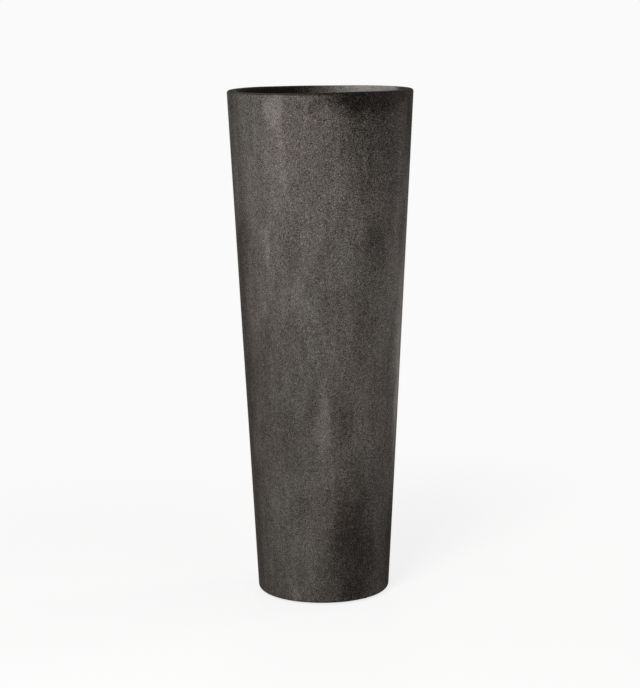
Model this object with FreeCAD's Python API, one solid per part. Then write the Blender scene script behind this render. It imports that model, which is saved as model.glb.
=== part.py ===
"""Tall round planter in laminated glass fibre, 1 m high and tapering towards its base.

One moulding makes the wall, the floor and a rim that turns in and down. Inside, four blocks
bonded to the wall carry a lift-out planting shelf, so that only the top of the planter is filled
with soil and the space below takes ballast. A rubber plug closes the drain hole in the floor, and
rubber pads hold the base clear of the ground.

Sizes are in millimetres. +Z is up, the planter's axis is Z, and the origin is on the ground under
the middle of the base.
"""

import FreeCAD
import Part

import math
import os

# ---------------------------------------------------------------- driving dimensions

# planter_shell: wall and rim
overall_height = 1000.0      # from the ground to the top of the rim
rim_diameter = 363.0         # where the line of the wall meets the top plane
base_diameter = 261.0        # where the line of the wall meets the base plane
wall = 4.5                   # laminate, square to the wall
rim_width = 20.0             # flat top of the rim, from the outside to the throat
rim_drop = 28.0              # height of the lip that hangs inside the rim
rim_edge_radius = 5.0        # rounding of the rim's two top edges
rim_root = 1.5               # sloping corners inside the rim, where resin fills the roots

# planter_shell: floor
floor_thickness = 6.0
base_edge_radius = 8.0       # rounding between the wall and the base ring
base_ring_width = 36.0       # ring that the planter stands on, in from base_diameter
base_recess = 8.0            # how far the middle of the floor is raised above the ring
recess_run = 8.0             # width of the slope up into the recess
floor_corner_radius = 12.0   # fillet inside, between the floor and the wall
drain_diameter = 25.0

# shelf_ledge: blocks bonded to the wall
ledge_count = 4
ledge_length = 62.0          # along the wall
ledge_depth = 20.0           # out from the wall
ledge_height = 36.0
ledge_nose = 12.0            # height of the square front of the block
ledge_toe = 3.0              # depth left at the bottom of its sloping underside
ledge_radius = 3.0
bond_line = 0.3              # adhesive between a block and the wall

# planting_shelf
shelf_depth = 400.0          # from the top of the rim down to the shelf
shelf_gap = 2.0              # clearance between the shelf's edge and the wall
shelf_plate = 4.0
shelf_skirt = 24.0           # height of the shelf's turned-down edge
skirt_thickness = 3.5
shelf_edge_chamfer = 2.0     # along the shelf's top edge
rib_count = 8
rib_thickness = 3.0
rib_height = 14.0            # below the plate
hub_diameter = 70.0          # inner ring rib, outside
ring_rib_diameter = 206.0    # outer ring rib, outside
finger_hole_diameter = 30.0
finger_hole_spacing = 136.0  # between the two centres
finger_hole_chamfer = 1.5    # on the hole's top edge
weep_diameter = 12.0
weep_count = 8
weep_circle = 252.0
hub_weep_count = 4
hub_weep_circle = 36.0

# drain_plug
plug_clearance = 0.1         # between the stem and the drain hole, all round
plug_taper = 0.9             # how much narrower the stem's tail is, on the radius
plug_tail = 4.0              # stem below the floor
plug_flange_overlap = 7.0    # flange beyond the hole, all round
plug_flange_thickness = 3.5
plug_grip_diameter = 13.0
plug_grip_neck = 8.0
plug_grip_height = 14.0
plug_grip_chamfer = 2.5      # round the top of the grip

# foot: die-cut rubber pads under the base ring
foot_count = 4
foot_diameter = 19.0
foot_height = 3.0

# ---------------------------------------------------------------- places worked out from them

ring_z = foot_height                          # the base ring's own plane
underside_z = ring_z + base_recess            # underside of the raised floor
floor_z = underside_z + floor_thickness       # inside of the raised floor
rim_radius = rim_diameter / 2
base_radius = base_diameter / 2
throat_radius = rim_radius - rim_width
drain_radius = drain_diameter / 2
taper = (rim_radius - base_radius) / (overall_height - ring_z)
wall_across = wall * math.hypot(1, taper)     # the laminate measured level
shelf_z = overall_height - shelf_depth        # top of the shelf
ledge_z = shelf_z - shelf_skirt               # top of the ledges
foot_circle_radius = base_radius - (base_ring_width + base_edge_radius) / 2
first_ledge = 180.0 / rib_count               # the ledges stand under ribs

AXIS = FreeCAD.Vector(0, 0, 1)
CENTRE = FreeCAD.Vector(0, 0, 0)


def outside_at(z):
    """Radius of the wall's outer face at a height."""
    return base_radius + (z - ring_z) * taper


def inside_at(z):
    """Radius of the wall's inner face at a height."""
    return outside_at(z) - wall_across


# ---------------------------------------------------------------- shapes

def rounded_profile(corners):
    """Closed face in the XZ plane through corners (radius, height, rounding)."""
    count = len(corners)
    points = [FreeCAD.Vector(r, 0, z) for r, z, _ in corners]
    arcs = []
    for i in range(count):
        here = points[i]
        back = (points[i - 1] - here).normalize()
        ahead = (points[(i + 1) % count] - here).normalize()
        rounding = corners[i][2]
        if rounding <= 0:
            arcs.append((here, None, here))
            continue
        half = back.getAngle(ahead) / 2
        reach = rounding / math.tan(half)
        middle = (back + ahead).normalize()
        mid = here + middle * (rounding / math.sin(half) - rounding)
        arcs.append((here + back * reach, mid, here + ahead * reach))
    edges = []
    for i in range(count):
        start, mid, end = arcs[i]
        if mid is not None:
            edges.append(Part.Arc(start, mid, end).toShape())
        following = arcs[(i + 1) % count][0]
        if end.distanceToPoint(following) > 1e-6:
            edges.append(Part.LineSegment(end, following).toShape())
    return Part.Face(Part.Wire(edges))


def revolved(corners, angle=360.0):
    """Solid swept by a profile about the planter's axis."""
    return rounded_profile(corners).revolve(CENTRE, AXIS, angle)


def turned(shape, degrees):
    """Copy of a shape, turned about the planter's axis."""
    copy = shape.copy()
    copy.rotate(CENTRE, AXIS, degrees)
    return copy


def pattern(shape, count, first=0.0):
    """Copies of a shape, evenly spaced about the planter's axis."""
    return [turned(shape, first + 360.0 / count * i) for i in range(count)]


def hole(radius, top, depth, x):
    """Cylinder to cut a vertical hole, from its top downwards, at x along the X axis."""
    return Part.makeCylinder(radius, depth, FreeCAD.Vector(x, 0, top - depth))


def planter_shell():
    """Wall, floor and rolled rim in one laminate, with the drain hole through the floor."""
    ring_inner = base_radius - base_ring_width
    recess_edge = ring_inner - recess_run
    step_angle = math.atan2(base_recess, recess_run)
    step_shift = floor_thickness * math.tan(step_angle / 2)
    ring_floor_z = ring_z + floor_thickness
    under_rim = overall_height - wall
    lip_z = overall_height - rim_drop
    return revolved([
        (drain_radius, underside_z, 0),
        (recess_edge, underside_z, 0),
        (ring_inner, ring_z, 0),
        (base_radius, ring_z, base_edge_radius),
        (rim_radius, overall_height, rim_edge_radius),
        (throat_radius, overall_height, rim_edge_radius),
        (throat_radius, lip_z, 0),
        (throat_radius + wall, lip_z, 0),
        (throat_radius + wall, under_rim - rim_root, 0),
        (throat_radius + wall + rim_root, under_rim, 0),
        (inside_at(under_rim) - rim_root, under_rim, 0),
        (inside_at(under_rim - rim_root), under_rim - rim_root, 0),
        (inside_at(ring_floor_z), ring_floor_z, floor_corner_radius),
        (ring_inner + step_shift, ring_floor_z, 0),
        (recess_edge + step_shift, floor_z, 0),
        (drain_radius, floor_z, 0),
    ])


def shelf_ledge():
    """One corbel-shaped block. Its back follows the wall, and its front slopes away below."""
    top, foot = ledge_z, ledge_z - ledge_height
    front = inside_at(top) - bond_line - ledge_depth
    sweep = math.degrees(ledge_length / inside_at(top))
    block = revolved([
        (inside_at(top) - bond_line, top, 0),
        (front, top, ledge_radius),
        (front, top - ledge_nose, ledge_radius),
        (inside_at(foot) - bond_line - ledge_toe, foot, 0),
        (inside_at(foot) - bond_line, foot, 0),
    ], sweep)
    return turned(block, -sweep / 2)


def shelf_ribs(plate_under):
    """Radial ribs and two ring ribs under the plate, running into the skirt."""
    rib_foot = plate_under - rib_height

    def skirt_middle(z):
        return inside_at(z) - shelf_gap - skirt_thickness / 2

    room = revolved([
        (0, rib_foot, 0),
        (skirt_middle(rib_foot), rib_foot, 0),
        (skirt_middle(plate_under), plate_under, 0),
        (0, plate_under, 0),
    ])
    hub_radius = hub_diameter / 2
    long_rib = Part.makeBox(
        inside_at(plate_under), rib_thickness, rib_height,
        FreeCAD.Vector(hub_radius - rib_thickness, -rib_thickness / 2, rib_foot))
    ribs = [rib.common(room) for rib in pattern(long_rib, rib_count, first_ledge)]
    for radius in (hub_radius, ring_rib_diameter / 2):
        ribs.append(revolved([
            (radius - rib_thickness, rib_foot, 0),
            (radius, rib_foot, 0),
            (radius, plate_under, 0),
            (radius - rib_thickness, plate_under, 0),
        ]))
    return ribs


def finger_hole(x):
    """Cutter for a hole whose top edge is chamfered for the finger."""
    radius = finger_hole_diameter / 2
    lead = 1.0
    cutter = revolved([
        (0, shelf_z + lead, 0),
        (radius + finger_hole_chamfer + lead, shelf_z + lead, 0),
        (radius, shelf_z - finger_hole_chamfer, 0),
        (radius, shelf_z - shelf_plate - lead, 0),
        (0, shelf_z - shelf_plate - lead, 0),
    ])
    cutter.translate(FreeCAD.Vector(x, 0, 0))
    return cutter


def planting_shelf():
    """Moulded disc with a skirt that rests on the ledges."""
    plate_under = shelf_z - shelf_plate
    chamfer_z = shelf_z - shelf_edge_chamfer

    def edge_at(z):
        return inside_at(z) - shelf_gap

    tray = revolved([
        (0, shelf_z, 0),
        (0, plate_under, 0),
        (edge_at(plate_under) - skirt_thickness, plate_under, 0),
        (edge_at(ledge_z) - skirt_thickness, ledge_z, 0),
        (edge_at(ledge_z), ledge_z, 0),
        (edge_at(chamfer_z), chamfer_z, 0),
        (edge_at(shelf_z) - shelf_edge_chamfer, shelf_z, 0),
    ])
    shelf = tray.fuse(shelf_ribs(plate_under)).removeSplitter()
    weep_radius = weep_diameter / 2
    depth = shelf_plate + 2.0
    weep = hole(weep_radius, shelf_z + 1.0, depth, weep_circle / 2)
    hub_weep = hole(weep_radius, shelf_z + 1.0, depth, hub_weep_circle / 2)
    holes = pattern(weep, weep_count)
    holes += pattern(hub_weep, hub_weep_count)
    holes += [finger_hole(side * finger_hole_spacing / 2) for side in (-1, 1)]
    return shelf.cut(holes)


def drain_plug():
    """Rubber bung: tapered stem in the drain hole, flange on the floor, and a mushroom grip."""
    stem = drain_radius - plug_clearance
    flange = drain_radius + plug_flange_overlap
    flange_z = floor_z + plug_flange_thickness
    grip_z = flange_z + plug_grip_height
    grip = plug_grip_diameter / 2
    neck = plug_grip_neck / 2
    return revolved([
        (0, underside_z - plug_tail, 0),
        (stem - plug_taper, underside_z - plug_tail, 0),
        (stem, floor_z, 0),
        (flange, floor_z, 0),
        (flange, flange_z, 0),
        (neck, flange_z, 0),
        (neck, grip_z - plug_grip_height / 2, 0),
        (grip, grip_z - plug_grip_height / 2, 0),
        (grip, grip_z - plug_grip_chamfer, 0),
        (grip - plug_grip_chamfer, grip_z, 0),
        (0, grip_z, 0),
    ])


def foot():
    """Rubber pad stuck to the base ring."""
    radius = foot_diameter / 2
    pad = revolved([
        (0, 0, 0),
        (radius, 0, 0),
        (radius, ring_z, 0),
        (0, ring_z, 0),
    ])
    pad.translate(FreeCAD.Vector(foot_circle_radius, 0, 0))
    return pad


# ---------------------------------------------------------------- nodes

def all_nodes():
    """Every piece of the planter, by name."""
    nodes = {
        "planter_shell": planter_shell(),
        "planting_shelf": planting_shelf(),
        "drain_plug": drain_plug(),
    }
    for i, ledge in enumerate(pattern(shelf_ledge(), ledge_count, first_ledge)):
        nodes[f"shelf_ledge_{i + 1}"] = ledge
    for i, pad in enumerate(pattern(foot(), foot_count, 180.0 / foot_count)):
        nodes[f"foot_{i + 1}"] = pad
    return nodes


os.makedirs("parts", exist_ok=True)
for name, shape in all_nodes().items():
    solids = shape.Solids
    print(f"{name}: {len(solids)} solid, {shape.Volume / 1000:.1f} cm3, valid {shape.isValid()}")
    shape.exportStep(f"parts/{name}.step")
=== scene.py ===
# %% [markdown]
# # A tall glass-fibre planter
#
# This planter is a metre of plain tapered wall, so nearly everything the eye gets comes from its
# finish: a lead-grey gelcoat that has been wiped, dulled and dusted until it looks like old sheet
# metal. The wall, the rolled rim and the floor are one laminate. Inside there is a lift-out shelf on
# four bonded ledges, a rubber plug, and under the base four rubber pads.
#
# The solids already have the right sizes and joints. They could all be kept as they are, with only
# materials on top, and the small pieces are. The shell is built again as a fine mesh, because a
# hand-laid wall is never a true cone and a rim trimmed by hand is never quite level.

import math

import bmesh
import bpy
from mathutils import Matrix, Vector


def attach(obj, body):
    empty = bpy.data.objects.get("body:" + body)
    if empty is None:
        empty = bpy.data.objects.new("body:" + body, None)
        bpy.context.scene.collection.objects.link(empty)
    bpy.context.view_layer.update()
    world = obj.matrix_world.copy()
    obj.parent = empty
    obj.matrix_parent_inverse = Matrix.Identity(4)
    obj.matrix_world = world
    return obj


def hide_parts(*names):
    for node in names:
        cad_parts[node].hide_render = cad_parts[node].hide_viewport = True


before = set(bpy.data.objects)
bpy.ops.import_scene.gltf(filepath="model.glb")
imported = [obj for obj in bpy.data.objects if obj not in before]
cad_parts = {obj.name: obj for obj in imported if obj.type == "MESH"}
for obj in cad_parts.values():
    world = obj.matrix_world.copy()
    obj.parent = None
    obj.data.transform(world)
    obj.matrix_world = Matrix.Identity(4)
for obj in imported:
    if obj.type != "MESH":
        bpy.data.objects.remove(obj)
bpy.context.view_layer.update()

# %% [markdown]
# ## The camera
#
# The camera comes first, so that each later step can be judged from the place where the planter was
# photographed. A long lens a few metres away keeps the wall's two edges nearly straight, and the
# mouth shows as a very thin ellipse, because the lens is only a little higher than the rim. The
# camera could be aimed by eye. Here its place was found by fitting a cone to the planter's outline,
# which also gives the slight roll of a camera held by hand.

# %% Place the camera
PHOTO_WIDTH, PHOTO_HEIGHT = 640, 688
FOCAL_PIXELS = 2047.8
SENSOR_MM = 36.0
LENS_PLACE = (-0.0040, -4.006, 1.1766)
LOOK_DOWN, ROLL = math.radians(9.614), math.radians(-0.412)

camera_data = bpy.data.cameras.new("camera")
camera_data.sensor_width = SENSOR_MM
camera_data.lens = FOCAL_PIXELS * SENSOR_MM / max(PHOTO_WIDTH, PHOTO_HEIGHT)
camera = bpy.data.objects.new("camera", camera_data)
bpy.context.scene.collection.objects.link(camera)
camera.matrix_world = (Matrix.Translation(LENS_PLACE)
                       @ Matrix.Rotation(math.pi / 2 - LOOK_DOWN, 4, "X")
                       @ Matrix.Rotation(ROLL, 4, "Z"))
bpy.context.scene.camera = camera
print(f"lens {camera_data.lens:.1f} mm")

# %% [markdown]
# ## The shell's outline
#
# The real shell is laid up by hand in a mould: gelcoat against the mould, then glass mat and resin
# behind it. So one outline, turned round the axis, makes the whole piece, and its faces are of two
# kinds. What touched the mould is smooth and coloured: the underside, the wall and the rim, as far as
# the lip's lower edge. What faced the worker is coarse: the back of the lip and the whole inside.
#
# A Screw modifier on a curve would turn such an outline too. Here the rings are placed one by one,
# so that each point can also be moved by the small errors of hand work.

# %% Sizes of the shell, in metres
MM = 0.001
HEIGHT = 1000 * MM
RIM_RADIUS, BASE_RADIUS = 181.5 * MM, 130.5 * MM
WALL = 4.5 * MM
THROAT_RADIUS = 161.5 * MM
LIP_DROP = 28 * MM
RIM_ROUNDING, BASE_ROUNDING, CORNER_ROUNDING = 5 * MM, 8 * MM, 12 * MM
ROOT_ROUNDING = 2.5 * MM
FLOOR_ROUNDING = 3 * MM
TRIMMED_EDGE = 0.9 * MM
GROUND_GAP = 3 * MM
FLOOR_THICKNESS = 6 * MM
RECESS = 8 * MM
RING_INNER = 94.5 * MM
DRAIN_RADIUS = 12.5 * MM
TAPER = (RIM_RADIUS - BASE_RADIUS) / (HEIGHT - GROUND_GAP)
WALL_ACROSS = WALL * math.hypot(1, TAPER)


def inside_at(z):
    """Radius of the inner face at a height."""
    return BASE_RADIUS + (z - GROUND_GAP) * TAPER - WALL_ACROSS


# %% Draw the outline
def rounded_outline(corners, line_step, arc_points):
    """Closed outline through corners (radius, height, rounding, finish of what follows).
    Gives a list of (radius, height, finish)."""
    places = [Vector((r, z)) for r, z, _, _ in corners]
    outline = []
    for i, (_, _, rounding, finish) in enumerate(corners):
        here = places[i]
        after = (i + 1) % len(corners)
        back = (places[i - 1] - here).normalized()
        ahead_edge = places[after] - here
        ahead = ahead_edge.normalized()
        half_angle = back.angle(ahead) / 2
        reach = rounding / math.tan(half_angle)
        if rounding:
            centre = here + (back + ahead).normalized() * (rounding / math.sin(half_angle))
            first = here + back * reach - centre
            turn = math.pi - 2 * half_angle
            side = 1 if back.x * ahead.y - back.y * ahead.x < 0 else -1
            for step in range(arc_points + 1):
                bend = side * turn * step / arc_points
                spoke = Matrix.Rotation(bend, 2) @ first
                outline.append((*(centre + spoke), finish))
        else:
            outline.append((*here, finish))
        following = corners[after][2]
        half_of_next = angle_at(places, after) / 2
        stop = ahead_edge.length - (following / math.tan(half_of_next) if following else 0)
        length = stop - reach
        pieces = max(1, round(length / line_step))
        for step in range(1, pieces):
            outline.append((*(here + ahead * (reach + length * step / pieces)), finish))
    return outline


def angle_at(places, i):
    """Inner angle of a closed outline at one corner."""
    here = places[i]
    return (places[i - 1] - here).angle(places[(i + 1) % len(places)] - here)


MOULDED, LAID = 0, 1
# the floor steps up at 45 degrees; this shift keeps it equally thick on the slope
slope_shift = FLOOR_THICKNESS * math.tan(math.pi / 8)
ring_floor = GROUND_GAP + FLOOR_THICKNESS
under_rim = HEIGHT - WALL
lip_foot = HEIGHT - LIP_DROP
underside = GROUND_GAP + RECESS
floor_top = underside + FLOOR_THICKNESS
shell_outline = rounded_outline([
    (DRAIN_RADIUS, underside, TRIMMED_EDGE, MOULDED),
    (RING_INNER - RECESS, underside, FLOOR_ROUNDING, MOULDED),
    (RING_INNER, GROUND_GAP, FLOOR_ROUNDING, MOULDED),
    (BASE_RADIUS, GROUND_GAP, BASE_ROUNDING, MOULDED),
    (RIM_RADIUS, HEIGHT, RIM_ROUNDING, MOULDED),
    (THROAT_RADIUS, HEIGHT, RIM_ROUNDING, MOULDED),
    (THROAT_RADIUS, lip_foot, TRIMMED_EDGE, LAID),
    (THROAT_RADIUS + WALL, lip_foot, TRIMMED_EDGE, LAID),
    (THROAT_RADIUS + WALL, under_rim, ROOT_ROUNDING, LAID),
    (inside_at(under_rim), under_rim, ROOT_ROUNDING, LAID),
    (inside_at(ring_floor), ring_floor, CORNER_ROUNDING, LAID),
    (RING_INNER + slope_shift, ring_floor, FLOOR_ROUNDING, LAID),
    (RING_INNER - RECESS + slope_shift, floor_top, FLOOR_ROUNDING, LAID),
    (DRAIN_RADIUS, floor_top, TRIMMED_EDGE, LAID),
], line_step=8 * MM, arc_points=6)
print("points in the outline:", len(shell_outline))

# %% [markdown]
# ## A wall laid up by hand
#
# A real laminate leaves its mould a little out of round, and more so near the rim, where nothing
# stiffens it. The errors are under a millimetre, but a long highlight running down the wall shows
# them at once. Noise could move the points, but it would be the same size all over. A few waves that
# go a whole number of times round the wall are closer to what a flexing mould does, they meet
# themselves without a seam, and they give the same shape in each run.

# %% Turn the outline into the shell
AROUND = 256
# waves round the wall, height in mm, phase, and how far the phase turns from base to rim
OUT_OF_ROUND = ((2, 0.38, 0.6, 1.7), (3, 0.22, 2.1, -3.1), (5, 0.14, 0.4, 6.0), (7, 0.09, 4.0, -11.0),
                (11, 0.05, 1.3, 17.0))
RIM_WAVES = ((1, 0.78, 0.7), (3, 0.5, 0.0), (9, 0.07, 5.1))
HIGH_SIDE, HIGH_BY = math.radians(-55), 2.0  # where the trimming left the rim a little high, in mm
STIFF_FLOOR, FREE_WALL = 112 * MM, 130 * MM  # the wall's errors fade in between these radii
LEVEL_WALL, TRIMMED_RIM = 940 * MM, 990 * MM  # and the rim's between these heights


def ramp(value, low, high):
    """0 below low, 1 above high, and smooth between them."""
    t = min(max((value - low) / (high - low), 0), 1)
    return t * t * (3 - 2 * t)


def hand_laid(radius, z, angle):
    """Where a point of the true outline ends up on the laminate."""
    rise = z / HEIGHT
    error = sum(size * math.sin(n * angle + phase + turn * rise) for n, size, phase, turn in OUT_OF_ROUND)
    free = ramp(radius, STIFF_FLOOR, FREE_WALL) * (0.5 + 0.5 * rise)
    unlevel = sum(size * math.sin(n * angle + phase) for n, size, phase in RIM_WAVES)
    unlevel += HIGH_BY * max(math.cos(angle - HIGH_SIDE), 0) ** 3
    near_rim = ramp(z, LEVEL_WALL, TRIMMED_RIM)
    return radius + error * free * MM, z + unlevel * near_rim * MM


def shell_mesh():
    """The shell, turned from its outline, with its two finishes in slots 0 and 1."""
    shape = bmesh.new()
    rings = []
    for r, z, _ in shell_outline:
        ring = []
        for i in range(AROUND):
            angle = 2 * math.pi * i / AROUND
            radius, height = hand_laid(r, z, angle)
            ring.append(shape.verts.new((radius * math.cos(angle), radius * math.sin(angle), height)))
        rings.append(ring)
    for k, (_, _, finish) in enumerate(shell_outline):
        lower, upper = rings[k], rings[(k + 1) % len(rings)]
        for i in range(AROUND):
            j = (i + 1) % AROUND
            face = shape.faces.new((lower[i], lower[j], upper[j], upper[i]))
            face.material_index = finish
            face.smooth = True
    bmesh.ops.recalc_face_normals(shape, faces=shape.faces)
    mesh = bpy.data.meshes.new("shell")
    shape.to_mesh(mesh)
    shape.free()
    return mesh


shell = bpy.data.objects.new("shell", shell_mesh())
bpy.context.scene.collection.objects.link(shell)
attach(shell, "planter")
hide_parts("planter_shell")
print("shell faces:", len(shell.data.polygons))

# %% [markdown]
# ## A few helpers for materials
#
# Colours are written as they look on a screen, in hex, and one function turns them into the linear
# values that the shader works in. Another adds a node, with its settings and with what goes into it.
# The short ones after it name what the materials do again and again: lay a noise, turn one range into
# another, and mix. The nodes could be added one at a time instead, but then the recipe of a finish
# would be hard to see.

# %% Helpers
def linear(hex_colour):
    """Linear RGBA of an sRGB colour such as "#5A5651"."""
    channels = [int(hex_colour[i:i + 2], 16) / 255 for i in (1, 3, 5)]
    return [c / 12.92 if c <= 0.04045 else ((c + 0.055) / 1.055) ** 2.4 for c in channels] + [1.0]


def add(tree, kind, settings=None, inputs=None):
    """Adds a node. Its inputs are given by name or number, as values or as another node's output."""
    node = tree.nodes.new("ShaderNode" + kind)
    for name, value in (settings or {}).items():
        setattr(node, name, value)
    for name, value in (inputs or {}).items():
        if isinstance(value, bpy.types.NodeSocket):
            tree.links.new(value, node.inputs[name])
        else:
            node.inputs[name].default_value = value
    return node


def new_material(name):
    """An empty material, and the surface socket of its output."""
    material = bpy.data.materials.new(name)
    material.use_nodes = True
    tree = material.node_tree
    tree.nodes.clear()
    output = add(tree, "OutputMaterial")
    return material, tree, output.inputs["Surface"]


def maths(tree, operation, *values):
    """Arithmetic on numbers, or on what other nodes give."""
    return add(tree, "Math", {"operation": operation}, dict(enumerate(values))).outputs[0]


def scaled(tree, place, factors):
    """The place of a point, with each direction stretched or shortened."""
    return add(tree, "VectorMath", {"operation": "MULTIPLY"}, {0: place, 1: factors}).outputs[0]


def stretched(tree, place, upright):
    """The place of a point with its height shortened, so that patterns there run up and down."""
    return scaled(tree, place, (1, 1, 1 / upright))


def length_of(tree, vector):
    return add(tree, "VectorMath", {"operation": "LENGTH"}, {0: vector}).outputs["Value"]


def noise(tree, place, blotch_mm, detail, rough=0.5, seed=0.0, output="Fac"):
    """Noise with blotches about this many millimetres wide. The seed moves it, so that no two
    patterns line up."""
    moved = add(tree, "VectorMath", {"operation": "ADD"}, {0: place, 1: (seed, seed * 0.7, seed * 1.3)})
    blotches = add(tree, "TexNoise", inputs={
        "Vector": moved.outputs[0], "Scale": 1 / (blotch_mm * MM), "Detail": detail, "Roughness": rough})
    return blotches.outputs[output]


def between(tree, value, low, high, at_low=0.0, at_high=1.0, easing="LINEAR"):
    """Goes from at_low to at_high as the value goes from low to high, and stays level outside."""
    mapped = add(tree, "MapRange", {"interpolation_type": easing}, {
        "Value": value, "From Min": low, "From Max": high, "To Min": at_low, "To Max": at_high})
    return mapped.outputs[0]


def mixed(tree, share, first, second):
    """first where the share is 0, second where it is 1."""
    return add(tree, "Mix", {"data_type": "FLOAT"}, {0: share, 2: first, 3: second}).outputs[0]


def summed(tree, layers, start=0.5):
    """start plus each pattern's departure from a half, times its weight."""
    total = start - sum(weight for _, weight in layers) / 2
    for pattern, weight in layers:
        total = maths(tree, "MULTIPLY_ADD", pattern, weight, total)
    return total


def shades(tree, value, stops):
    """Colours along a value, given as (position, hex)."""
    node = add(tree, "ValToRGB", inputs={"Fac": value})
    ramp_stops = node.color_ramp.elements
    while len(ramp_stops) < len(stops):
        ramp_stops.new(0.5)
    for element, (position, colour) in zip(ramp_stops, stops):
        element.position = position
        element.color = linear(colour)
    return node.outputs["Color"]


print("half grey on a screen, in linear light:", round(linear("#808080")[0], 3))

# %% [markdown]
# ## Weathered lead-grey gelcoat
#
# Gelcoat is a pigmented polyester resin, brushed or sprayed into the mould before the glass. Here it
# is filled with fine mineral sand and tinted like lead, then rubbed with a thin black wash that is
# wiped off in upward strokes. The wash stays in the pores and wherever the cloth missed, so the eye
# gets a salt-and-pepper grain like cast stone, soft clouds, faint upright strokes, and hardly any
# shine.
#
# Noise alone gives the right kind of cloud, but not this planter's own: the patch the cloth wiped
# nearly clean under the rim, the black that was left to its right, and the dark place low down. So
# the wiped and missed places are laid one by one over a quieter noise, each a soft spot with an
# uneven edge. Some of the spots are not wash but painted light and shade: paler stripes down the
# right edge as painted light, and darker stripes high and low on the right edge and all down the
# left edge as painted shade.
#
# Three more things go over that. The lip carries painted light and shade: black at the front and on
# the left, and paler towards the right at the back, where the main light would fall; the top of the
# rim takes most of it. The foot is chipped where the planter was tipped and dragged. And the sand
# stands out more where the wash is thick, so the grain isn't equally strong all over.

# %% Places the cloth wiped or missed, and painted light and shade down the outer edges
# angle from the front in degrees, height, half width and half height in mm, and how much paler
WIPED_AND_PAINTED_LIGHT_FRONT = (
    (-29, 974, 24, 44, 0.23), (-38, 945, 60, 70, 0.03), (-26, 870, 40, 110, 0.10), (-34, 760, 50, 230, 0.06),
    (-40, 720, 18, 40, 0.10), (-30, 712, 6, 44, 0.06), (-46, 630, 12, 56, 0.08), (-38, 640, 14, 90, 0.06),
    (-43, 585, 8, 18, 0.08), (-51, 560, 8, 18, 0.08), (-12, 590, 26, 26, 0.06),
    (-50, 720, 30, 160, 0.06), (-12, 790, 40, 200, 0.04), (5, 530, 60, 60, 0.03), (1, 362, 15, 90, 0.18),
    # (74, 520) and (76, 390) are painted light: paler stripes down the right edge
    (-18, 250, 30, 60, 0.03), (74, 520, 30, 170, 0.26), (76, 390, 26, 130, 0.28), (-32, 290, 30, 50, 0.05),
    (-14, 150, 28, 50, 0.05), (20, 800, 22, 70, 0.05), (-72, 800, 24, 80, 0.18),
    (-28, 600, 34, 80, 0.04))
MISSED_AND_PAINTED_SHADE_FRONT = (
    (29, 1000, 84, 44, -0.38), (27, 955, 50, 60, -0.14), (54, 960, 80, 80, -0.05), (42, 880, 60, 150, -0.12),
    (34, 994, 78, 22, -0.16), (18, 905, 28, 110, -0.12), (72, 930, 44, 140, -0.13), (61, 998, 26, 18, -0.30),
    (88, 1000, 40, 14, -0.35), (74, 970, 28, 34, -0.14), (70, 730, 22, 60, -0.10), (-72, 988, 24, 32, -0.12),
    (24, 975, 40, 22, -0.07), (52, 978, 56, 22, -0.10), (10, 982, 34, 22, -0.07), (-3, 974, 16, 14, -0.12),
    (64, 930, 24, 60, -0.06), (-53, 340, 18, 44, -0.05),
    (41, 715, 36, 54, -0.13), (34, 560, 40, 200, -0.05), (28, 110, 60, 150, -0.27),
    (62, 80, 60, 170, -0.08), (27, 25, 30, 26, -0.14), (17, 364, 22, 60, -0.08),
    # (82, 960) and (84, 60) are painted shade, darkening the right edge where the lamp behind on the right
    # lights it
    (-8, 400, 16, 40, -0.05), (82, 960, 44, 120, -0.40), (84, 60, 44, 180, -0.32),
    # (-80, 900), (-76, 560) and (-74, 200) are painted shade all down the left edge
    (-80, 900, 30, 240, -0.11), (-76, 560, 34, 300, -0.19), (-74, 200, 34, 300, -0.16),
    (-68, 720, 30, 170, -0.10), (72, 110, 40, 130, -0.18), (50, 260, 40, 80, -0.06), (28, 850, 30, 70, -0.11))
WIPED_BEHIND = (
    (152, 900, 46, 110, 0.11), (-128, 520, 30, 120, 0.09), (104, 300, 34, 80, 0.08), (176, 240, 14, 70, 0.12),
    (-160, 700, 26, 120, 0.10), (140, 480, 40, 60, 0.05), (-100, 820, 40, 60, 0.08), (165, 430, 12, 60, 0.14),
    (-140, 330, 8, 40, 0.08), (-147, 300, 7, 22, 0.08), (-172, 930, 10, 50, 0.10), (118, 860, 16, 90, 0.08))
MISSED_BEHIND = (
    (118, 700, 60, 120, -0.12), (-150, 960, 80, 60, -0.20), (-168, 110, 70, 110, -0.22),
    (-110, 160, 40, 110, -0.10), (170, 996, 90, 26, -0.20), (-125, 760, 26, 50, -0.12),
    (150, 160, 50, 120, -0.13), (104, 960, 40, 60, -0.10), (-178, 560, 20, 60, -0.07))


def on_wall(angle, height):
    """Place on the outer face, at an angle in degrees from the front and a height in mm."""
    turn = math.radians(angle)
    radius = inside_at(height * MM) + WALL_ACROSS
    return (radius * math.sin(turn), -radius * math.cos(turn), height * MM)


SPOT_REACH = 1.5  # where a spot ends, in half widths from its middle


def soft_spot(tree, place, centre, half_width, half_height):
    """1 in the middle of a spot, falling smoothly to 0 at its edge."""
    offset = add(tree, "VectorMath", {"operation": "SUBTRACT"}, {0: place, 1: centre}).outputs[0]
    wide, high = 1 / (half_width * MM), 1 / (half_height * MM)
    distance = length_of(tree, scaled(tree, offset, (wide, wide, high)))
    return between(tree, distance, 0.0, SPOT_REACH, 1.0, 0.0, "SMOOTHERSTEP")


SPOTS = WIPED_AND_PAINTED_LIGHT_FRONT + MISSED_AND_PAINTED_SHADE_FRONT + WIPED_BEHIND + MISSED_BEHIND
print("wiped and missed places:", len(SPOTS))

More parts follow.
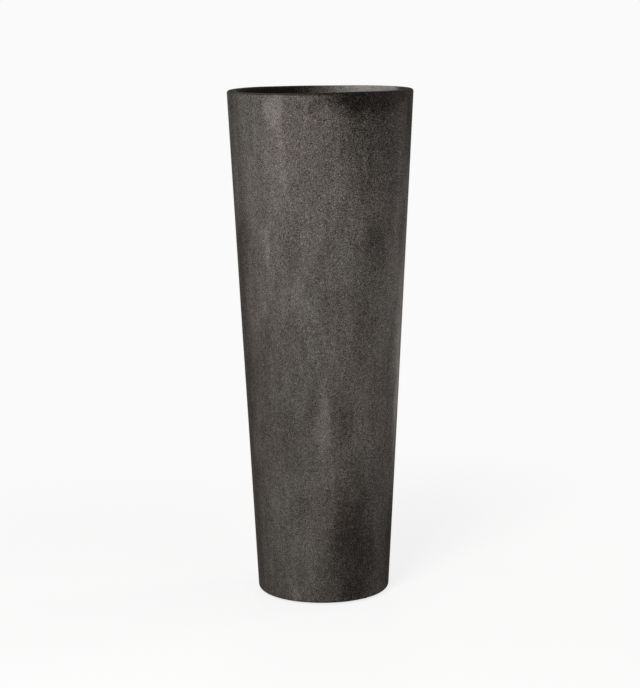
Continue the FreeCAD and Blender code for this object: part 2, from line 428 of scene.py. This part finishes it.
# %% Gelcoat
CLOUD_MM, STREAK_MM, STROKE_MM, MOTTLE_MM = 70, 14, 16, 22
GRAIN_MM = 1.4  # real sand is half a millimetre; drawn this coarse so that a pixel can hold a grain
PORE_MM, CHIP_MM = 5.0, 7
EDGE_MM = 45  # how wide the bays in a spot's edge are
TINT_MM = 95  # and the places where the grey is a little warmer
NARROW_SPOT = 15  # mm; a narrower spot gets a nearly even edge, or it would be torn up
MIDDLE_TONE = 0.498  # 0 is the thickest wash, 1 is bare pale sand


def weathered_gelcoat():
    material, tree, surface = new_material("weathered_lead_grey_gelcoat")
    place = add(tree, "TexCoord").outputs["Object"]
    across, _, z = add(tree, "SeparateXYZ", inputs={0: place}).outputs
    upright = stretched(tree, place, 2.2)
    drawn_up = stretched(tree, place, 6)
    whole_arm = stretched(tree, place, 18)

    clouds = noise(tree, upright, CLOUD_MM, 3, 0.5, 3.1)
    streaks = noise(tree, drawn_up, STREAK_MM, 3, 0.6, 1.7)
    mottle = noise(tree, upright, MOTTLE_MM, 4, 0.65, 5.3)
    strokes = noise(tree, whole_arm, STROKE_MM, 2, 0.7, 6.1)
    tone = summed(tree, [(clouds, 0.3), (strokes, 0.145), (streaks, 0.14), (mottle, 0.21)], MIDDLE_TONE)
    # the lower half is a touch darker towards the bottom
    tone = maths(tree, "ADD", tone, between(tree, z, 0.0, 600 * MM, -0.02, 0.0))

    # the spots' edges are pushed about, so that none of them is round
    push = add(tree, "VectorMath", {"operation": "SUBTRACT"}, {
        0: noise(tree, place, EDGE_MM, 3, 0.6, 7.7, "Color"), 1: (0.5, 0.5, 0.5)}).outputs[0]
    uneven = add(tree, "VectorMath", {"operation": "MULTIPLY_ADD"}, {
        0: push, 1: (40 * MM, 40 * MM, 80 * MM), 2: place}).outputs[0]
    nearly_even = add(tree, "VectorMath", {"operation": "MULTIPLY_ADD"}, {
        0: push, 1: (12 * MM, 12 * MM, 30 * MM), 2: place}).outputs[0]
    # wiped and missed places, and the painted light and shade down the outer edges
    for angle, height, half_width, half_height, paler in SPOTS:
        drawn_at = uneven if half_width > NARROW_SPOT else nearly_even
        spot = soft_spot(tree, drawn_at, on_wall(angle, height), half_width, half_height)
        tone = maths(tree, "MULTIPLY_ADD", spot, paler, tone)
    tone = maths(tree, "MAXIMUM", tone, 0.0)

    # where the base is tipped and dragged, its edge is chipped down to the paler sand
    chipped = between(tree, noise(tree, place, CHIP_MM, 3, 0.7, 4.6), 0.53, 0.61)
    low_edge = between(tree, z, 18 * MM, 8 * MM)
    chips = maths(tree, "MULTIPLY", chipped, low_edge)
    tone = maths(tree, "MULTIPLY_ADD", chips, 0.22, tone)

    # painted light on the back of the lip: paler and paler from left to right, until just before its right
    # end
    x, y, _ = add(tree, "SeparateXYZ", inputs={0: nearly_even}).outputs
    light_rising_rightwards = between(tree, x, -65 * MM, 80 * MM, -0.12, 0.93)
    back_lip_painted_light = mixed(tree, between(tree, x, 146 * MM, 162 * MM), light_rising_rightwards, 0.05)
    # all the rest of it is painted black, as shade
    lip_painted_light_and_shade = mixed(tree, between(tree, y, -20 * MM, 50 * MM), -0.1, back_lip_painted_light)
    from_axis = length_of(tree, scaled(tree, place, (1, 1, 0)))
    near_throat = between(tree, from_axis, THROAT_RADIUS + 6 * MM, THROAT_RADIUS)
    in_lip = mixed(tree, between(tree, z, lip_foot - 3 * MM, lip_foot), 0.0, near_throat)
    on_top = between(tree, z, HEIGHT - 5 * MM, HEIGHT)
    # the top of the rim takes most of the lip's painted light and shade, so it is dark at the front
    tone_with_painted_rim_top = mixed(tree, on_top, tone, mixed(tree, 0.85, tone, lip_painted_light_and_shade))
    tone = mixed(tree, in_lip, tone_with_painted_rim_top, lip_painted_light_and_shade)

    # grain and pores run round zero, so that on average they leave the tone as it is
    sand = noise(tree, stretched(tree, place, 1.2), GRAIN_MM, 2, 0.6, 0.4)
    grain = between(tree, sand, 0.3, 0.7, -0.5, 0.5)
    pits = noise(tree, stretched(tree, place, 1.6), PORE_MM, 2, 0.6, 2.2)
    pores = between(tree, pits, 0.3, 0.7, -0.5, 0.5)
    # the sand stands out more on the side where the wash is thick, and higher up
    thick_side = between(tree, across, 0.0, 110 * MM, 0.76, 1.02)
    high_up = between(tree, z, 500 * MM, 950 * MM, 0.88, 1.14)
    grit = maths(tree, "MULTIPLY", thick_side, high_up)
    tone = maths(tree, "MULTIPLY_ADD", grain, grit, tone)
    tone = maths(tree, "MULTIPLY_ADD", pores, 0.12, tone)

    warm = shades(tree, tone, [
        (0.0, "#0C0A08"), (0.25, "#39332F"), (0.5, "#605A56"), (0.75, "#87817D"), (1.0, "#AEA8A3")])
    cool = shades(tree, tone, [
        (0.0, "#0B0A09"), (0.25, "#373330"), (0.5, "#5E5A56"), (0.75, "#85817D"), (1.0, "#ACA8A4")])
    tint = between(tree, noise(tree, upright, TINT_MM, 2, 0.5, 9.4), 0.38, 0.66)
    colour = add(tree, "Mix", {"data_type": "RGBA"}, {0: tint, 6: warm, 7: cool}).outputs[2]
    # sand and dust break up any reflection, so the surface is nearly matt
    roughness = between(tree, mottle, 0.3, 0.7, 0.76, 0.94)
    relief = summed(tree, [(grain, 0.5), (pores, 0.3), (mottle, 0.5), (streaks, 0.3)])
    bump = add(tree, "Bump", inputs={"Strength": 0.8, "Distance": 0.8 * MM, "Height": relief})
    shader = add(tree, "BsdfPrincipled", inputs={
        "Base Color": colour, "Roughness": roughness, "IOR": 1.5, "Specular IOR Level": 0.1,
        "Normal": bump.outputs["Normal"]})
    tree.links.new(shader.outputs["BSDF"], surface)
    return material


gelcoat = weathered_gelcoat()
print("nodes in the gelcoat:", len(gelcoat.node_tree.nodes))

# %% [markdown]
# ## Flow coat over chopped-strand mat
#
# Inside, the last layer of glass is sealed with flow coat, a resin with wax that dries without
# stickiness. It follows the strands under it, so the surface is a tangle of low ridges about a
# millimetre wide and some centimetres long, with a dull wet look where resin pooled.

# %% Flow coat
STRAND_MM, POOL_MM = 3.5, 60
STRAND_SLIMNESS = 0.07  # a strand's width over its length
STRAND_TURNS = ((0.3, 0.35), (1.1, 1.25), (2.4, -0.8), (3.7, 2.1))


def flow_coat():
    material, tree, surface = new_material("flow_coat_over_glass_mat")
    place = add(tree, "TexCoord").outputs["Object"]
    strands = []
    for roll, pitch in STRAND_TURNS:
        turned = add(tree, "VectorRotate", {"rotation_type": "EULER_XYZ"}, {
            "Vector": place, "Rotation": (pitch, pitch * 0.7 + roll, roll)}).outputs[0]
        strand = noise(tree, scaled(tree, turned, (1, 1, STRAND_SLIMNESS)), STRAND_MM, 1.0)
        strands.append((strand, 0.5))
    pooled = noise(tree, place, POOL_MM, 3.0)
    relief = summed(tree, strands)
    tone = summed(tree, strands + [(pooled, 0.8)])
    colour = shades(tree, tone, [(0.24, "#2B2A28"), (0.5, "#444240"), (0.78, "#6B675F")])
    roughness = between(tree, pooled, 0.0, 1.0, 0.4, 0.75)
    bump = add(tree, "Bump", inputs={"Strength": 0.8, "Distance": 0.8 * MM, "Height": relief})
    shader = add(tree, "BsdfPrincipled", inputs={
        "Base Color": colour, "Roughness": roughness, "IOR": 1.5, "Normal": bump.outputs["Normal"]})
    tree.links.new(shader.outputs["BSDF"], surface)
    return material


laid_inside = flow_coat()
shell.data.materials.append(gelcoat)
shell.data.materials.append(laid_inside)
print("shell finishes:", [m.name for m in shell.data.materials])

# %% [markdown]
# ## A shelf of spark-grained polypropylene
#
# The shelf is injection moulded in black polypropylene, in a tool whose spark-eroded faces leave a
# fine even grain, half dull and half waxy to the eye. It then lives under wet soil. Gravel scratches
# its top, a brown film of fine soil stays where the plate meets the wall, and the water that leaves by
# the weep holes dries round them in pale rings of lime.
#
# The rings could be painted by hand. They follow the holes exactly, though, so it is shorter to fold
# the plate into one quarter, in which only five of the twelve holes are left, and to measure how far
# each point is from the nearest.

# %% Shelf
SPARK_MM = 1.2  # real spark grain is a fifth of this; drawn coarser so that it shows
SOIL_MM, SCRATCH_MM, CRUST_MM = 34, 1.3, 12
SCRATCH_SLIMNESS = 0.025
SHELF_EDGE = 152 * MM
WEEP_CIRCLE, HUB_WEEP_CIRCLE = 126 * MM, 18 * MM
outer_weeps = [(WEEP_CIRCLE * math.cos(turn), WEEP_CIRCLE * math.sin(turn), 0)
               for turn in (0, math.pi / 4, math.pi / 2)]
quarter_of_weeps = outer_weeps + [(HUB_WEEP_CIRCLE, 0, 0), (0, HUB_WEEP_CIRCLE, 0)]


def scratches(tree, place):
    """Fine straight scratches that run three ways."""
    scratched = 0.0
    for turn in (0.5, 1.5, 2.7):
        turned = add(tree, "VectorRotate", {"rotation_type": "Z_AXIS"}, {"Vector": place, "Angle": turn})
        lines = noise(tree, scaled(tree, turned.outputs[0], (1, SCRATCH_SLIMNESS, 1)), SCRATCH_MM, 1.0)
        scratched = maths(tree, "MAXIMUM", between(tree, lines, 0.66, 0.76), scratched)
    return scratched


def lime_rings(tree, place, level):
    """Broken rings round the weep holes, where the draining water dried."""
    nearest = SHELF_EDGE
    for weep in quarter_of_weeps:
        apart = add(tree, "VectorMath", {"operation": "DISTANCE"}, {0: level, 1: weep}).outputs["Value"]
        nearest = maths(tree, "MINIMUM", apart, nearest)
    crust = noise(tree, place, CRUST_MM, 4.0, 0.7)
    # the tide line's own radius wanders, so that no ring is a true circle
    tide = maths(tree, "MULTIPLY_ADD", crust, 20 * MM, nearest)
    outside = between(tree, tide, 25 * MM, 19 * MM, easing="SMOOTHSTEP")
    inside = between(tree, tide, 14 * MM, 20 * MM, 0.2, 1.0, "SMOOTHSTEP")
    whole_ring = maths(tree, "MULTIPLY", outside, inside)
    return maths(tree, "MULTIPLY", whole_ring, between(tree, crust, 0.38, 0.66))


def spark_grained_polypropylene():
    material, tree, surface = new_material("spark_grained_polypropylene")
    coordinates = add(tree, "TexCoord").outputs
    place = coordinates["Object"]
    upness = add(tree, "SeparateXYZ", inputs={0: coordinates["Normal"]}).outputs["Z"]
    facing_up = between(tree, upness, 0.6, 0.95)
    spark = noise(tree, place, SPARK_MM, 2.0, 0.6)
    patches = noise(tree, place, SOIL_MM, 6.0, 0.65)
    tone = summed(tree, [(spark, 0.5), (patches, 0.7)])
    colour = shades(tree, tone, [(0.3, "#1A1A1A"), (0.5, "#262625"), (0.72, "#3A3937")])

    folded = add(tree, "VectorMath", {"operation": "ABSOLUTE"}, {0: place}).outputs[0]
    level = scaled(tree, folded, (1, 1, 0))
    at_edge = between(tree, length_of(tree, level), SHELF_EDGE - 34 * MM, SHELF_EDGE, easing="SMOOTHSTEP")
    settled = between(tree, patches, 0.42, 0.68)
    soil = maths(tree, "MAXIMUM", settled, at_edge)

    films = ((scratches(tree, place), 0.35, "#63615D"), (soil, 0.5, "#4B4137"),
             (lime_rings(tree, place, level), 0.55, "#A39C90"))
    for film, share, film_colour in films:
        strength = maths(tree, "MULTIPLY", film, share)
        on_top = maths(tree, "MULTIPLY", strength, facing_up)
        layers = {0: on_top, 6: colour, 7: linear(film_colour)}
        colour = add(tree, "Mix", {"data_type": "RGBA"}, layers).outputs[2]
    roughness = between(tree, soil, 0.0, 1.0, 0.46, 0.85)
    relief = summed(tree, [(spark, 0.8), (patches, 0.4)])
    bump = add(tree, "Bump", inputs={"Strength": 0.7, "Distance": 0.14 * MM, "Height": relief})
    shader = add(tree, "BsdfPrincipled", inputs={
        "Base Color": colour, "Roughness": roughness, "IOR": 1.49, "Normal": bump.outputs["Normal"]})
    tree.links.new(shader.outputs["BSDF"], surface)
    return material


black_polypropylene = spark_grained_polypropylene()
print("weep holes in a quarter of the shelf:", len(quarter_of_weeps))

# %% [markdown]
# ## Rubber plug and pads
#
# The plug is moulded natural rubber and the pads are die-cut from rubber sheet. Both are filled with
# carbon black, so they are dark and dull, and both carry a faint pale bloom where the rubber's waxes
# have come to the surface. One small noise makes the skin, and a larger one gathers the bloom.

# %% Plug and pads
RUBBER_SKIN_MM, BLOOM_MM = 1.0, 14


def moulded_rubber():
    material, tree, surface = new_material("moulded_rubber")
    place = add(tree, "TexCoord").outputs["Object"]
    skin = noise(tree, place, RUBBER_SKIN_MM, 2.0, 0.6)
    bloom = noise(tree, place, BLOOM_MM, 4.0, 0.6)
    tone = summed(tree, [(skin, 0.3), (bloom, 1.0)])
    colour = shades(tree, tone, [(0.3, "#141414"), (0.55, "#222221"), (0.75, "#3A3A38")])
    roughness = between(tree, bloom, 0.0, 1.0, 0.65, 0.95)
    bump = add(tree, "Bump", inputs={"Strength": 0.7, "Distance": 0.06 * MM, "Height": skin})
    shader = add(tree, "BsdfPrincipled", inputs={
        "Base Color": colour, "Roughness": roughness, "IOR": 1.52, "Normal": bump.outputs["Normal"]})
    tree.links.new(shader.outputs["BSDF"], surface)
    return material


black_rubber = moulded_rubber()

finish_of_node = {"planting_shelf": black_polypropylene, "drain_plug": black_rubber}
finish_of_node.update({f"foot_{i}": black_rubber for i in range(1, 5)})
finish_of_node.update({f"shelf_ledge_{i}": laid_inside for i in range(1, 5)})
for node, finish in finish_of_node.items():
    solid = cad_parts[node]
    for slot in solid.material_slots:
        slot.material = finish
print("finished solids:", len(finish_of_node))

# %% [markdown]
# ## The floor
#
# The planter was photographed against white and cut out, so there is no floor to copy. A pale floor
# still helps, because a soft shadow says that the planter stands on something. The floor could be a
# white sheet under strong lamps, but that would bleach the planter too. Instead its own grey takes
# the shadow, and it adds a glow that only the camera and mirror-like surfaces see. Further out it
# fades into the same white as the background.

# %% Floor
BACKGROUND = "#FAFAFA"
FLOOR_GREY = "#8E8E8E"
FLOOR_LIGHT = 0.65  # how bright the lamps make a white floor, near the planter
FLOOR_END = 30.0  # metres from the axis, so that its edge is never in view
FADE_FROM, FADE_TO = 0.5, 1.6  # metres from the axis

floor_mesh = bpy.data.meshes.new("floor")
floor_corners = [(-FLOOR_END, -FLOOR_END, 0), (FLOOR_END, -FLOOR_END, 0),
                 (FLOOR_END, FLOOR_END, 0), (-FLOOR_END, FLOOR_END, 0)]
floor_mesh.from_pydata(floor_corners, [], [(0, 1, 2, 3)])
floor = bpy.data.objects.new("floor", floor_mesh)
bpy.context.scene.collection.objects.link(floor)


def seen_directly(tree):
    """1 for what the camera sees, also in a mirror or through glass."""
    path = add(tree, "LightPath").outputs
    seen = maths(tree, "ADD", path["Is Camera Ray"], path["Is Glossy Ray"])
    return add(tree, "Math", {"operation": "ADD", "use_clamp": True}, {
        0: seen, 1: path["Is Transmission Ray"]}).outputs[0]


def floor_material():
    material, tree, surface = new_material("pale_floor")
    white, grey = linear(BACKGROUND), linear(FLOOR_GREY)
    seen = seen_directly(tree)
    near_glow = white[0] - grey[0] * FLOOR_LIGHT
    distance = length_of(tree, add(tree, "TexCoord").outputs["Object"])
    far = between(tree, distance, FADE_FROM, FADE_TO, easing="SMOOTHSTEP")
    glow = add(tree, "Emission", inputs={
        "Color": (1, 1, 1, 1), "Strength": maths(tree, "MULTIPLY", seen, near_glow)})
    paint = add(tree, "BsdfDiffuse", inputs={"Color": grey})
    near = add(tree, "AddShader", inputs={0: paint.outputs[0], 1: glow.outputs[0]})
    open_white = add(tree, "Emission", inputs={"Color": white, "Strength": seen})
    fade = maths(tree, "MULTIPLY", far, seen)
    blend = add(tree, "MixShader", inputs={0: fade, 1: near.outputs[0], 2: open_white.outputs[0]})
    tree.links.new(blend.outputs[0], surface)
    return material


floor_mesh.materials.append(floor_material())
print(f"floor fades to white {FADE_FROM} to {FADE_TO} m from the planter's axis")

# %% [markdown]
# ## The light
#
# The far inside of the rim is bright on the right and black on the left, so the main light stands in
# front, to the left, and above the rim. It is large, because the wall's shading turns slowly. A weak
# one at the front right opens the shaded side a little.
#
# The wall's two outer edges are paler than its shaded part, which no light in front can do. A brighter
# room would do it, but it would flatten the middle too. So two more lamps stand further back: one on
# the right, which lightens the right edge, and one straight behind and lower than the rim, which
# grazes both. A dim, even world fills in the rest.

# %% Lamps and world
WORLD_STRENGTH = 0.24


def soft_box(name, place, target, width, height, watts, colour):
    data = bpy.data.lights.new(name, "AREA")
    data.shape = "RECTANGLE"
    data.size, data.size_y = width, height
    data.energy = watts
    data.color = linear(colour)[:3]
    lamp = bpy.data.objects.new(name, data)
    lamp.location = place
    lamp.rotation_euler = (Vector(target) - Vector(place)).to_track_quat("-Z", "Y").to_euler()
    bpy.context.scene.collection.objects.link(lamp)


soft_box("key", (-1.0, -2.8, 2.4), (0, 0, 0.8), 1.2, 1.2, 70, "#FFFEFC")
soft_box("fill", (2.2, -2.2, 1.1), (0, 0, 0.5), 1.4, 1.4, 6, "#FFFDFA")
soft_box("kicker", (2.6, 1.2, 1.0), (0, 0, 0.5), 0.8, 1.6, 17, "#FFFDFA")
soft_box("back", (0.0, 3.2, 0.55), (0, 0, 0.5), 0.9, 0.9, 34, "#FFFEFC")

world = bpy.data.worlds.new("studio")
world.use_nodes = True
bpy.context.scene.world = world
sky = world.node_tree
sky.nodes.clear()
room = add(sky, "Background", inputs={"Color": (1, 1, 1, 1), "Strength": WORLD_STRENGTH})
backdrop = add(sky, "Background", inputs={"Color": linear(BACKGROUND), "Strength": 1.0})
blend = add(sky, "MixShader", inputs={0: seen_directly(sky), 1: room.outputs[0], 2: backdrop.outputs[0]})
sky.links.new(blend.outputs[0], add(sky, "OutputWorld").inputs["Surface"])
bpy.context.scene.view_settings.view_transform = "Standard"
